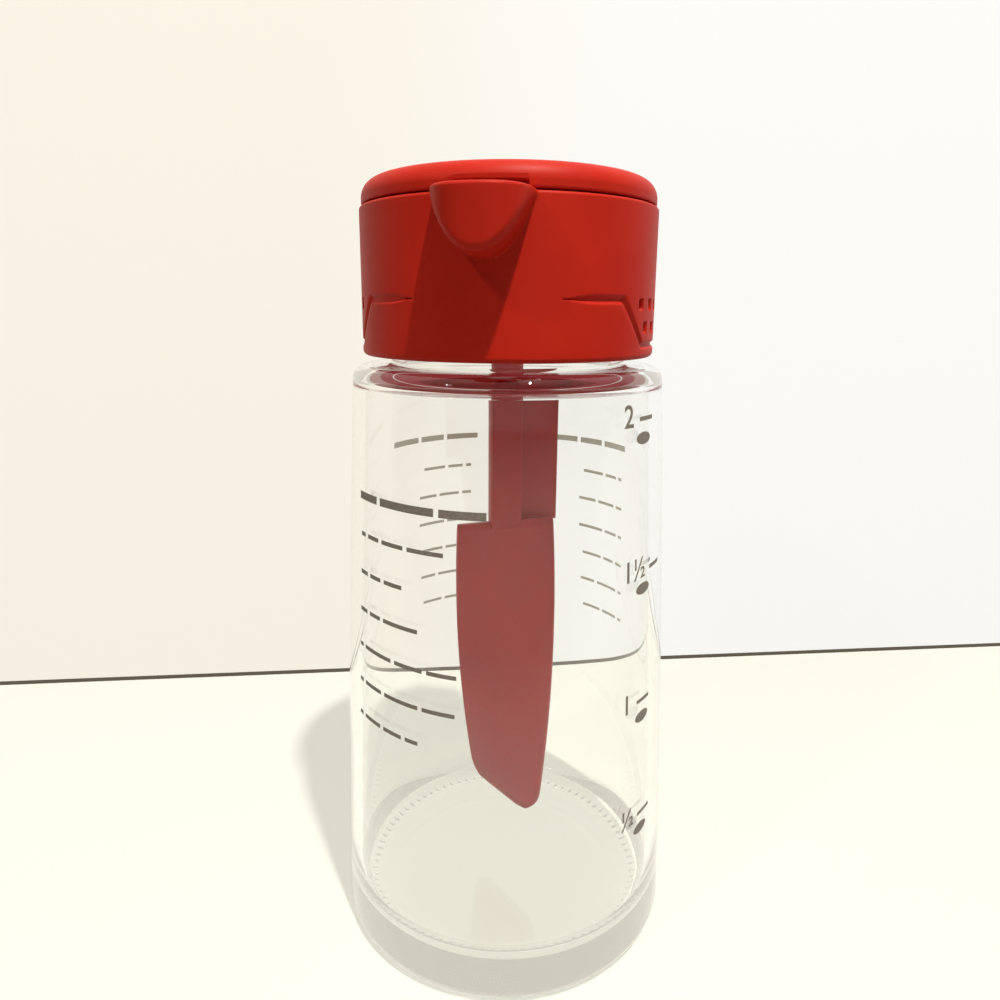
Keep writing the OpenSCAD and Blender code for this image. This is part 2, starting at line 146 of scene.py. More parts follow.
# The camera, from the fit to the photograph
focal_px = 734.0
frame_px = 1000.0
camera_azimuth = 8.0
camera_distance = 171.5
camera_height = 151.0
camera_pitch = 14.76
camera_roll = 0.36
axis_px = 506.5


class Value:
    """A number or colour on a node socket. Arithmetic on it adds Math nodes."""

    def __init__(self, shop, socket):
        self.shop = shop
        self.socket = socket

    def _math(self, operation, *others):
        return self.shop.add("Math", {"operation": operation}, [self, *others])

    def __add__(self, other):
        return self._math("ADD", other)

    __radd__ = __add__

    def __mul__(self, other):
        return self._math("MULTIPLY", other)

    __rmul__ = __mul__

    def __sub__(self, other):
        return self._math("SUBTRACT", other)

    def __rsub__(self, other):
        return self.shop.add("Math", {"operation": "SUBTRACT"}, [other, self])

    def larger(self, other):
        return self._math("MAXIMUM", other)

    def between(self, low, high):
        """0 below low, 1 above high, and a smooth step from one to the other."""
        return self.shop.add("MapRange", {"interpolation_type": "SMOOTHSTEP"},
                             {"Value": self, "From Min": low, "From Max": high}, "Result")


class Finish:
    """A material's node tree, with one method that adds any node."""

    def __init__(self, owner):
        owner.use_nodes = True
        self.tree = owner.node_tree
        self.tree.nodes.clear()

    def add(self, kind, settings=None, inputs=None, output=0):
        """Adds a node, sets its settings, fills its sockets with values or links them."""
        node = self.tree.nodes.new("ShaderNode" + kind)
        for key, value in (settings or {}).items():
            setattr(node, key, value)
        pairs = inputs.items() if isinstance(inputs, dict) else enumerate(inputs or [])
        for key, value in pairs:
            if isinstance(value, Value):
                self.tree.links.new(value.socket, node.inputs[key])
            else:
                node.inputs[key].default_value = value
        return Value(self, node.outputs[output]) if len(node.outputs) else node

    def place(self, scale=(1, 1, 1)):
        """Object coordinates, stretched by a Mapping node."""
        here = self.add("TexCoord", output="Object")
        return self.add("Mapping", inputs={"Vector": here, "Scale": scale})

    def noise(self, scale, detail=3.0, where=None, rough=0.5):
        """Noise of about 1/scale metres, from 0 to 1."""
        return self.add("TexNoise", {"noise_dimensions": "3D"},
                        {"Vector": where or self.place(), "Scale": scale, "Detail": detail,
                         "Roughness": rough})

    def blend(self, amount, low, high):
        """A colour between two colours."""
        return self.add("Mix", {"data_type": "RGBA"}, {0: amount, 6: low, 7: high}, 2)

    def bump(self, height, strength, distance):
        return self.add("Bump", inputs={"Height": height, "Strength": strength,
                                        "Distance": distance})

    def finish(self, shader, kind="OutputMaterial"):
        self.tree.links.new(shader.socket, self.add(kind).inputs["Surface"])


def colour(red, green, blue):
    """A colour seen on screen as 0 to 255 per channel, turned to the linear values of a node."""
    def linear(byte):
        part = byte / 255
        return part / 12.92 if part <= 0.04045 else ((part + 0.055) / 1.055) ** 2.4
    return (linear(red), linear(green), linear(blue), 1.0)


def satin_plastic(name, main, dark, roughness, grain, sheen=0.3):
    """Moulded plastic: fine spark-eroded grain, faint flow shading and scuffed gloss."""
    material = bpy.data.materials.new(name)
    shop = Finish(material)
    cloudy = shop.noise(45.0, 3.0)
    scuffs = shop.noise(160.0, 4.0, shop.place((1, 1, 3)), 0.62)
    fine = shop.noise(3600.0, 2.0)
    shader = shop.add("BsdfPrincipled", inputs={
        "Base Color": shop.blend(cloudy.between(0.3, 0.75), dark, main),
        "Roughness": roughness + 0.10 * scuffs + 0.05 * fine,
        "Normal": shop.bump(fine + 0.25 * scuffs, grain, 0.00006),
        "Specular IOR Level": sheen,
    })
    shop.finish(shader)
    return material


def clear_glass_finish():
    """Pressed soda glass: full transmission and a faint ripple left by the mould.

    A ray that has turned round inside the glass many times ends in the mean colour of what
    stands near, pale at the base and dark red under the lid, because the renderer would drop
    it and leave the glass black.
    """
    pale_base = (0.60, 0.57, 0.50, 1)
    under_lid = (0.24, 0.030, 0.034, 1)
    most_turns = 4.5
    material = bpy.data.materials.new("clear_glass")
    shop = Finish(material)
    ripple = shop.noise(38.0, 1.5, shop.place((1, 1, 0.45)))
    shader = shop.add("BsdfPrincipled", inputs={
        "Base Color": (0.985, 0.987, 0.978, 1),
        "Roughness": 0.0,
        "IOR": 1.5,
        "Transmission Weight": 1.0,
        "Normal": shop.bump(ripple, 0.10, 0.0006),
    })
    depth = shop.add("LightPath", output="Ray Depth")
    here = shop.add("SeparateXYZ", inputs=[shop.place()])
    height = Value(shop, here.socket.node.outputs[2])
    around = shop.blend(height.between(0.128, 0.140), pale_base, under_lid)
    room = shop.add("Emission", inputs={"Color": around, "Strength": 1.0})
    late = shop.add("Math", {"operation": "GREATER_THAN"}, [depth, most_turns])
    shop.finish(shop.add("MixShader", inputs={0: late, 1: shader, 2: room}))
    return material


def milky_silicone():
    """Soft pale silicone with a dusty surface."""
    material = bpy.data.materials.new("milky_silicone")
    shop = Finish(material)
    dust = shop.noise(900.0, 4.0)
    shader = shop.add("BsdfPrincipled", inputs={
        "Base Color": shop.blend(dust.between(0.35, 0.7), (0.70, 0.68, 0.62, 1),
                                 (0.78, 0.76, 0.70, 1)),
        "Roughness": 0.5 + 0.15 * dust,
        "Normal": shop.bump(dust, 0.15, 0.00005),
        "Subsurface Weight": 0.2,
        "Subsurface Scale": 0.002,
    })
    shop.finish(shader)
    return material


def drawn_steel():
    """Bright wire with drawing lines along the pin."""
    material = bpy.data.materials.new("drawn_steel")
    shop = Finish(material)
    lines = shop.noise(5000.0, 2.0, shop.place((0.02, 1, 1)))
    shader = shop.add("BsdfPrincipled", inputs={
        "Base Color": (0.62, 0.62, 0.64, 1),
        "Metallic": 1.0,
        "Roughness": 0.24 + 0.2 * lines,
        "Normal": shop.bump(lines, 0.2, 0.00002),
    })
    shop.finish(shader)
    return material


def screen_print(name, thin, full):
    """Grey-brown ceramic ink, a little thin in places."""
    material = bpy.data.materials.new(name)
    shop = Finish(material)
    patchy = shop.noise(2600.0, 3.0)
    shader = shop.add("BsdfPrincipled", inputs={
        "Base Color": shop.blend(patchy.between(0.35, 0.8), full, thin),
        "Roughness": 0.55 + 0.1 * patchy,
    })
    shop.finish(shader)
    return material


class Shell:
    """Grids and flat ends that together make one piece."""

    def __init__(self):
        self.points = []
        self.faces = []
        self.count = 0

    def _keep(self, points):
        start = self.count
        self.points.append(points.reshape(-1, 3))
        self.count += len(self.points[-1])
        return start

    def grid(self, points, around=False, along=False):
        """A grid of points [i, j], closed in i if around and in j if along."""
        rows, columns = points.shape[:2]
        start = self._keep(points)
        i = np.arange(rows if around else rows - 1)[:, None]
        j = np.arange(columns if along else columns - 1)[None, :]
        i2, j2 = (i + 1) % rows, (j + 1) % columns
        quads = np.stack([i * columns + j, i2 * columns + j, i2 * columns + j2,
                          i * columns + j2], axis=-1)
        self.faces += (quads.reshape(-1, 4) + start).tolist()
        return self

    def patch(self, points, faces):
        """Points with faces that name them by number."""
        start = self._keep(points)
        self.faces += [[start + k for k in face] for face in faces]
        return self

    def flat(self, points):
        """One flat face through the points."""
        return self.patch(points, [range(len(points))])

    def piece(self, name, material, body, slot=None, stands_for=(), crease=38.0, closed=True):
        """Puts the shell into the scene as one mesh, with poles and doubles merged."""
        mesh = bpy.data.meshes.new(name)
        mesh.from_pydata((np.vstack(self.points) * MM).tolist(), [], self.faces)
        build = bmesh.new()
        build.from_mesh(mesh)
        bmesh.ops.remove_doubles(build, verts=build.verts, dist=2e-7)
        if closed:
            bmesh.ops.recalc_face_normals(build, faces=build.faces)
        build.to_mesh(mesh)
        build.free()
        mesh.validate()
        mesh.shade_smooth()
        mesh.set_sharp_from_angle(angle=math.radians(crease))
        mesh.materials.append(material)
        piece = bpy.data.objects.new(name, mesh)
        bpy.context.collection.objects.link(piece)
        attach(piece, body)
        if stands_for:
            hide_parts(*stands_for)


def arc(r, z, radius, start, end, steps):
    """Points of a circle's arc round (r, z), from the start angle to the end angle."""
    a = np.radians(np.linspace(start, end, steps + 1))
    return np.column_stack([r + radius * np.cos(a), z + radius * np.sin(a)])


def line(r0, z0, r1, z1, steps=1):
    """Points of a straight stretch."""
    return np.column_stack([np.linspace(r0, r1, steps + 1), np.linspace(z0, z1, steps + 1)])


def chain(*parts):
    """The parts one after another, without doubled points."""
    points = np.vstack(parts)
    step = np.hypot(*np.diff(points, axis=0).T)
    return points[np.concatenate([[True], step > 1e-3])]


def turned(profile, azimuths, change=None):
    """Points of a profile (radius, height) turned round the axis at each azimuth.

    change(azimuth, radius, height) may return new radii and heights for the whole grid.
    """
    azimuth = azimuths[:, None] + 0 * profile[None, :, 0]
    radius = profile[None, :, 0] + 0 * azimuth
    height = profile[None, :, 1] + 0 * azimuth
    if change:
        radius, height = change(azimuth, radius, height)
    a = np.radians(azimuth)
    return np.stack([radius * np.sin(a), -radius * np.cos(a), height], axis=-1)


def full_turn(count):
    """Evenly spaced azimuths round the whole axis."""
    return np.arange(count) * 360.0 / count


def smooth_step(x, low, high):
    """0 below low, 1 above high, 3t^2 - 2t^3 between."""
    t = np.clip((x - low) / (high - low), 0, 1)
    return t * t * (3 - 2 * t)


def glass_r(z):
    """Outer radius of the glass wall: a straight taper plus a parabola for its bow."""
    t = (z - heel_round) / (body_h - shoulder_round - heel_round)
    return base_r + (shoulder_r - base_r) * t + 4 * wall_bow * t * (1 - t)


def glass_profile():
    """Outline of the glass: bowl under the base, heel, wall, shoulder, neck, rim, and back down
    the inside to the domed floor."""
    rest_out = base_r - heel_round
    rest_in = rest_out - rest_w
    wall_top = body_h - shoulder_round
    inner_top = body_h - glass_wall
    inner_round = shoulder_round - 1
    inner_wall_top = inner_top - inner_round
    inner_low = floor_t + floor_round
    bowl_r = np.linspace(0, rest_in, 14)
    wall_z = np.linspace(heel_round, wall_top, 22)
    inner_z = np.linspace(inner_wall_top, inner_low, 20)
    floor_r = np.linspace(glass_r(inner_low) - glass_wall - floor_round, 0, 14)
    edge_r = glass_r(inner_wall_top) - glass_wall - inner_round
    corner_r = floor_r[0]
    return chain(
        np.column_stack([bowl_r, punt_h * (1 - (bowl_r / rest_in) ** 2)]),
        line(rest_in, 0, rest_out, 0, 8),
        arc(rest_out, heel_round, heel_round, -90, 0, 12),
        np.column_stack([glass_r(wall_z), wall_z]),
        arc(shoulder_r - shoulder_round, wall_top, shoulder_round, 0, 90, 12),
        arc(neck_r + 1, body_h + 1, 1, -90, -180, 5),
        line(neck_r, body_h + 1, neck_r, lug_z - 0.3, 3),
        line(neck_r, lug_z - 0.3, neck_r, lug_z + lug_h + 0.3, 10),
        arc(neck_r - rim_round, rim_z - rim_round, rim_round, 0, 90, 5),
        arc(bore_r + rim_round, rim_z - rim_round, rim_round, 90, 180, 5),
        arc(bore_r + 1, inner_top + 1, 1, 180, 270, 5),
        arc(edge_r, inner_wall_top, inner_round, 90, 0, 8),
        np.column_stack([glass_r(inner_z) - glass_wall, inner_z]),
        arc(corner_r, inner_low, floor_round, 0, -90, 14),
        np.column_stack([floor_r, floor_t + floor_dome * (1 - (floor_r / corner_r) ** 2)]))


def glass_relief(azimuth, radius, height):
    """Lugs stand out from the neck in round-ended windows. Ticks are pressed into the resting
    ring as a cosine wave round the base, faded in and out across the ring."""
    lug_end, lug_low, lug_high = 0.6, 0.05, 0.3
    pitch = 360.0 / lug_count
    off_middle = np.abs((azimuth + pitch / 2) % pitch - pitch / 2)
    on_neck = np.abs(radius - neck_r) < 0.01
    across = smooth_step(-off_middle, -lug_arc / 2 - lug_end, -lug_arc / 2 + lug_end)
    rise = smooth_step(height, lug_z - lug_low, lug_z + lug_high)
    rise = rise * smooth_step(-height, -lug_z - lug_h - lug_low, -lug_z - lug_h + lug_high)
    radius = radius + np.where(on_neck, lug_out * across * rise, 0)
    rest_out = base_r - heel_round
    ring = smooth_step(radius, rest_out - 1.6, rest_out - 1.0)
    ring = ring * smooth_step(-radius, -rest_out - 2.6, -rest_out - 1.2)
    wave = 0.5 + 0.5 * np.cos(np.radians(azimuth) * tick_count)
    low = height < heel_round
    return radius, height + np.where(low, tick_depth * wave ** 2 * ring, 0)


def make_glass(material):
    """The glass: its outline turned round the axis, with lugs on the neck and ticks below."""
    shell = Shell().grid(turned(glass_profile(), full_turn(tick_count * 6), glass_relief),
                         around=True)
    shell.piece("glass_body", material, "bottle", "glass", ["glass_bottle"], crease=60)


def collar_cone(z):
    """Outer radius of the collar without its beak."""
    return collar_bottom_r + (collar_top_r - collar_bottom_r) * (z - collar_z) / (
        collar_top - collar_z)


def beak_front(x, z):
    """How far the beak stands out from the axis at sideways x and height z.

    With s = |x| / half width, the lip and the lower edge both reach out as (1 - s^p)^(1/p), and
    the lower edge climbs as s^q. The front runs straight from the lower edge up to the lip,
    and a quarter circle rounds the lower edge. The underside runs level back to the collar.
    """
    share = np.clip(np.abs(x) / beak_half_w, 0, 1)
    root = math.sqrt(collar_top_r ** 2 - beak_half_w ** 2) - 0.3
    plan = (1 - share ** lip_power) ** (1 / lip_power)
    lip = root + (beak_tip - root) * plan
    low = root + (under_tip - root) * plan
    under = under_z + (collar_top - under_z - lip_edge) * share ** under_power
    up = np.clip((z - under_z) / (collar_top - lip_edge - under_z), 0, 1)
    into = np.clip((under + under_round - z) / under_round, 0, 1)
    front = low + (lip - low) * up - under_round * (1 - np.sqrt(1 - into ** 2))
    return np.where(z > under, front, 0)


def beak_reach(azimuth, z):
    """Distance that the beak adds to the collar's radius, found by halving along each ray."""
    a = np.radians(azimuth)
    low = collar_cone(z) + 0 * a
    high = low * 0 + beak_tip + 2
    first = low.copy()
    for _ in range(26):
        middle = (low + high) / 2
        x, y = middle * np.sin(a), middle * np.cos(a)
        within = (np.abs(x) < beak_half_w) & (y < beak_front(x, z))
        low, high = np.where(within, middle, low), np.where(within, high, middle)
    return low - first


def soften(field, reach, axis):
    """The field averaged along one axis with a bell of weights."""
    taps = np.arange(-2 * reach, 2 * reach + 1)
    weights = np.exp(-0.5 * (taps / reach) ** 2)
    weights /= weights.sum()
    pad = [(0, 0), (0, 0)]
    pad[axis] = (2 * reach, 2 * reach)
    wide = np.pad(field, pad, mode="edge")
    size = field.shape[axis]
    return sum(w * np.take(wide, np.arange(k, k + size), axis) for k, w in enumerate(weights))


def beak_table():
    """The beak's reach on a fine even grid, with its creases softened, as a lookup that mixes
    the four nearest points by their share."""
    spread = 26
    azimuths = np.linspace(-spread, spread, 261)
    heights = np.linspace(under_z - 1.5, collar_top, 180)
    field = beak_reach(azimuths[:, None], heights[None, :])
    field = soften(soften(field, 2, 0), 3, 1)

    def look(azimuth, z):
        i = np.clip((azimuth + spread) / (azimuths[1] - azimuths[0]), 0, len(azimuths) - 1.001)
        j = np.clip((z - heights[0]) / (heights[1] - heights[0]), 0, len(heights) - 1.001)
        i0, j0 = i.astype(int), j.astype(int)
        u, v = i - i0, j - j0
        near = field[i0, j0] * (1 - v) + field[i0, j0 + 1] * v
        far = field[i0 + 1, j0] * (1 - v) + field[i0 + 1, j0 + 1] * v
        inside = (np.abs(azimuth) < spread) & (z > heights[0])
        return np.where(inside, near * (1 - u) + far * u, 0)
    return look


def to_segment(u, v, a, b):
    """Distance from (u, v) to the segment a-b, and the share of the way along it."""
    d = np.subtract(b, a)
    t = np.clip(((u - a[0]) * d[0] + (v - a[1]) * d[1]) / (d @ d), 0, 1)
    return np.hypot(u - a[0] - t * d[0], v - a[1] - t * d[1]), t


def grip_relief(azimuth, z):
    """Depth of the grooves and pockets of the two grips, on the collar's unrolled wall. A groove
    deepens smoothly with nearness to its path, a pocket with nearness to a small rectangle."""
    step = 8.6
    pocket_half_w, pocket_half_h = 0.55, 0.75
    side = 90 - np.abs(np.abs((azimuth + 180) % 360 - 180) - 90)
    arc_mm = math.radians(1) * collar_cone(150.0)
    u, v = side * arc_mm, z
    upper_z, lower_z = collar_z + 11.8, collar_z + 2.8
    path = [(27 * arc_mm, upper_z), (52 * arc_mm, upper_z), (66 * arc_mm, lower_z),
            (92 * arc_mm, lower_z)]
    depth = np.zeros_like(u)
    for k in range(3):
        away, t = to_segment(u, v, path[k], path[k + 1])
        half = 0.95 * smooth_step(t, -0.05, 0.45) if k == 0 else 0.8 + 0 * t
        depth = np.maximum(depth, groove_d * smooth_step(-away, -half - 0.02, -half * 0.25))
    for row_z, first in ((collar_z + 11.0, 0.0), (collar_z + 6.4, 0.5)):
        nearest = 90 + (np.round((side - 90) / step - first) + first) * step
        held = (nearest > 90 - 3.4 * step) & (nearest <= 90)
        du = np.abs((side - nearest) * arc_mm) - pocket_half_w
        dv = np.abs(v - row_z) - pocket_half_h
        away = np.hypot(np.maximum(du, 0), np.maximum(dv, 0))
        depth = np.maximum(depth, np.where(held, pocket_d * smooth_step(-away, -0.5, -0.2), 0))
    return depth


def channel_r(azimuth, z):
    """Inner radius of the collar above the deck, with the pouring channel cut into the beak as
    an ellipse, whose half width grows from 5.6 to 8.0 and whose tip moves from 37.5 to 41.6
    towards the lip. The radius is where a ray from the axis meets that ellipse."""
    a = np.radians(azimuth)
    share = np.clip((z - channel_z) / (collar_top - channel_z), 0, 1)
    half = 5.6 + 2.4 * share
    root = chamber_r - 4
    length = 37.5 + 4.1 * share - root
    s, c = np.sin(a), np.cos(a)
    k2 = (s / half) ** 2 + (c / length) ** 2
    k1 = -2 * c * root / length ** 2
    k0 = (root / length) ** 2 - 1
    rest = k1 ** 2 - 4 * k2 * k0
    reach = np.where((rest > 0) & (c > 0), (-k1 + np.sqrt(np.maximum(rest, 0))) / (2 * k2), 0)
    open_here = smooth_step(z, channel_z - 0.15, channel_z + 0.25)
    return chamber_r + np.maximum(reach - chamber_r, 0) * open_here


def collar_azimuths():
    """Azimuths set close at beak, grips and hinge slot, and wider elsewhere."""
    slot = math.degrees(math.asin(ear_in / pin_y))
    half = np.concatenate([
        np.arange(0, 22, 0.35), np.arange(22, 60, 1.0), np.arange(60, 120, 0.5),
        np.arange(120, 168, 1.0), np.arange(168, 180 - slot, 1.0),
        [180 - slot - 0.02, 180 - slot + 0.02], np.arange(180 - slot + 0.9, 180, 0.9)])
    return np.concatenate([half, [180], 360 - half[:0:-1]])


def make_collar(material):
    """Outside of the collar, over the rim and down the inside.

    At each azimuth and height the outer radius is the cone's, plus the beak's reach, less the
    depth of the grips. Rows of heights lie close where the grips and the beak are.
    """
    beak = beak_table()
    azimuths = collar_azimuths()
    signed = (azimuths + 180) % 360 - 180
    foot_round, top_round, edge = 1.0, 0.6, 0.3
    grips_end = 153.6
    slope_top, slope_end, channel_end = 165.9, 165.0, 164.0
    thread_top, thread_low = 155.0, 148.0

    def outside(z):
        return (collar_cone(z) + beak(signed, z + 0 * signed)
                - grip_relief(signed, z + 0 * signed))

    foot = outside(collar_z + foot_round)
    columns = [(foot - foot_round + math.cos(a), collar_z + foot_round + math.sin(a))
               for a in np.radians(np.linspace(-90, 0, 6))]
    wall = np.concatenate([np.arange(collar_z + foot_round + 0.2, grips_end, 0.23),
                           np.arange(grips_end, under_z - 0.8, 0.5),
                           np.arange(under_z - 0.7, collar_top - top_round, 0.19),
                           [collar_top - top_round]])
    columns += [(outside(z), z) for z in wall]
    high = outside(collar_top - top_round)
    columns += [(high - top_round + top_round * math.cos(a),
                 collar_top - top_round + top_round * math.sin(a))
                for a in np.radians(np.linspace(15, 90, 6))]
    inner = channel_r(signed, collar_top - edge)
    columns += [(inner + edge - edge * math.sin(a), collar_top - edge + edge * math.cos(a))
                for a in np.radians(np.linspace(0, 90, 4))]
    channel_z_rows = np.concatenate([np.arange(collar_top - 0.6, slope_top, -0.5),
                                     np.arange(slope_top - 0.1, slope_end, -0.1)])
    columns += [(channel_r(signed, z), z) for z in channel_z_rows]
    columns += [(chamber_r, channel_end), (chamber_r, deck_z), (collar_in, deck_z),
                (collar_in, thread_top), (collar_in, thread_low),
                (collar_in, collar_z + edge), (collar_in + edge, collar_z)]
    flat = 0 * signed
    radius = np.stack([r + flat for r, _ in columns], axis=1)
    height = np.stack([z + flat for _, z in columns], axis=1)
    a = np.radians(azimuths)[:, None]
    x, y = radius * np.sin(a), -radius * np.cos(a)
    drop = np.sqrt(np.maximum(knuckle_clear ** 2 - (y - pin_y) ** 2, 0))
    in_slot = (np.abs(x) < ear_in) & (y > 0)
    height = np.where(in_slot, np.minimum(height, pin_z - drop), height)
    shell = Shell().grid(np.stack([x, y, height], axis=-1), around=True, along=True)
    for side in (-1, 1):
        add_ring_bar(shell, ear_outline, side * ear_in, side * ear_out)
    shell.piece("collar_body", material, "lid", "lid_plastic", ["lid_collar"], crease=50)


def ear_outline(angle):
    """Distance from the pin to the ear's edge: a circle above, and below it the gusset, whose
    back is a line tangent to the circle and whose front lies inside the collar's wall."""
    dy, dz = np.cos(angle), np.sin(angle)
    back_angle = math.radians(-14)
    back = (math.cos(back_angle), math.sin(back_angle))
    along = dy * back[0] + dz * back[1]
    to_back = np.where(along > 1e-3, knuckle_r / np.maximum(along, 1e-3), 99)
    to_front = np.where(dy < -1e-3, 2.4 / np.maximum(-dy, 1e-3), 99)
    to_foot = np.where(dz < -1e-3, 8.0 / np.maximum(-dz, 1e-3), 99)
    gusset = np.minimum(np.minimum(to_back, to_front), to_foot)
    return np.where(dz < math.sin(back_angle), np.maximum(gusset, knuckle_r), knuckle_r)


def round_outline(angle):
    """The same distance from the pin all round."""
    return knuckle_r + 0 * angle


def add_ring_bar(shell, outline, x0, x1):
    """A bar along X round the hinge pin: outline outside, bore inside, edges broken."""
    angle = np.radians(full_turn(72))
    outer = outline(angle)
    bevel = 0.35
    inward = math.copysign(bevel, x1 - x0)
    rows = [(x0, pin_bore + 0 * angle), (x0, outer - bevel), (x0 + inward * 0.3, outer - 0.1),
            (x0 + inward, outer), (x1 - inward, outer), (x1 - inward * 0.3, outer - 0.1),
            (x1, outer - bevel), (x1, pin_bore + 0 * angle)]
    points = np.stack([np.column_stack([x + 0 * angle, pin_y + r * np.cos(angle),
                                        pin_z + r * np.sin(angle)]) for x, r in rows], axis=1)
    shell.grid(points, around=True, along=True)


def notch_share(azimuth):
    """1 over the beak and 0 elsewhere: abrupt on the right, drawn out on the left."""
    right = smooth_step(-azimuth, -notch_half - 0.3, -notch_half + 0.3)
    left = smooth_step(azimuth, -notch_half - 0.3, -notch_half + 5.0)
    return right * left


def cap_azimuths():
    """Azimuths set close at the notch's ends and at the hinge."""
    knuckle = math.degrees(math.asin(cap_knuckle_w / 2 / pin_y))
    ear_r = 31.0
    ears = math.degrees(math.asin((ear_out + ear_gap) / ear_r))
    edges = []
    for turn in (180 - ears, 180 - knuckle):
        edges += [turn - 0.03, turn + 0.03, 360 - turn - 0.03, 360 - turn + 0.03]
    fine = np.concatenate([np.arange(13.6, 15.4, 0.1), np.arange(344.0, 351, 0.3)])
    return np.unique(np.concatenate([np.arange(0, 360, 1.5), fine, edges]).round(3))


def make_cap(material):
    """The cap: an outline turned round the axis, with the rim lifted by the notch's share over
    the beak, and the edge drawn in beside the knuckle to clear the hinge's ears."""
    azimuths = cap_azimuths()
    signed = (azimuths + 180) % 360 - 180
    step_r = cap_r - 2.5
    ledge_r = cap_hollow_r - 1.6
    lip_round = 0.4
    dome_r = np.linspace(cap_r - cap_round, 0, 16)
    dome_z = cap_edge_z + (cap_top - cap_edge_z) * (1 - (dome_r / dome_r[0]) ** 2)
    under = chain(line(0, cap_ceiling_z, ledge_r, cap_ceiling_z, 6),
                  line(ledge_r, cap_ceiling_z, ledge_r, cap_ledge_z, 2),
                  line(ledge_r, cap_ledge_z, cap_hollow_r, cap_ledge_z),
                  line(cap_hollow_r, cap_ledge_z, cap_hollow_r, cap_z, 2),
                  line(cap_hollow_r, cap_z, step_r, cap_z))
    rim = chain(line(step_r, cap_z, cap_r - lip_round, cap_z, 2),
                arc(cap_r - lip_round, cap_z + lip_round, lip_round, -90, 0, 4))
    side = chain(line(cap_r, cap_z + 0.7, cap_r, cap_edge_z - cap_round + 0.3, 1),
                 arc(cap_r - cap_round, cap_edge_z - cap_round, cap_round, 4, 90, 22),
                 np.column_stack([dome_r, dome_z]))
    profile = np.vstack([under, rim, side])
    lifted = np.concatenate([np.zeros(len(under)), np.ones(len(rim)), np.zeros(len(side))])
    side_start = len(under) + len(rim)
    lifted[side_start:side_start + 2] = (0.9, 0.6)

    def shape(azimuth, radius, height):
        height = height + notch_h * notch_share(signed)[:, None] * lifted[None, :]
        a = np.radians(azimuth)
        x, y = radius * np.sin(a), -radius * np.cos(a)
        gap = np.sqrt(np.maximum(knuckle_clear ** 2 - (height - pin_z) ** 2, 0))
        by_ear = (np.abs(x) < ear_out + ear_gap) & (np.abs(x) > cap_knuckle_w / 2) & (y > 0)
        by_ear &= height < pin_z + knuckle_clear
        limit = (pin_y - gap) / np.maximum(-np.cos(a), 0.1)
        return np.where(by_ear, np.minimum(radius, limit), radius), height

    shell = Shell().grid(turned(profile, azimuths, shape), around=True)
    add_ring_bar(shell, round_outline, -cap_knuckle_w / 2, cap_knuckle_w / 2)
    shell.piece("cap_body", material, "cap", "lid_plastic", ["flip_cap"], crease=42)


def unit(vectors):
    """Vectors brought to length 1."""
    return vectors / np.linalg.norm(vectors, axis=-1, keepdims=True)


def rounded_outline(corners, radius, steps=4):
    """Closed outlines [..., corner, 2] with each corner replaced by an arc of the radius. The
    arc's middle lies on the corner's bisector, and its points at the radius along spokes."""
    corners = np.array(corners, float)
    radius = np.reshape(radius, np.shape(radius) + (1, 1))
    u = unit(np.roll(corners, 1, -2) - corners)
    v = unit(np.roll(corners, -1, -2) - corners)
    half = np.arccos(np.clip((u * v).sum(-1, keepdims=True), -1, 1)) / 2
    start, end = corners + u * radius / np.tan(half), corners + v * radius / np.tan(half)
    middle = corners + unit(u + v) * radius / np.sin(half)
    t = np.linspace(0, 1, steps + 1)[:, None]
    spoke = (start - middle)[..., None, :] * (1 - t) + (end - middle)[..., None, :] * t
    points = middle[..., None, :] + unit(spoke) * radius[..., None]
    return points.reshape(corners.shape[:-2] + (-1, 2))


def swept(sections, heights, angles):
    """Sections [k, point, 2] placed at each height and turned about the axis."""
    c, s = np.cos(np.radians(angles))[:, None], np.sin(np.radians(angles))[:, None]
    x = sections[:, :, 0] * c - sections[:, :, 1] * s
    y = sections[:, :, 0] * s + sections[:, :, 1] * c
    return np.stack([x, y, heights[:, None] + 0 * x], axis=-1)


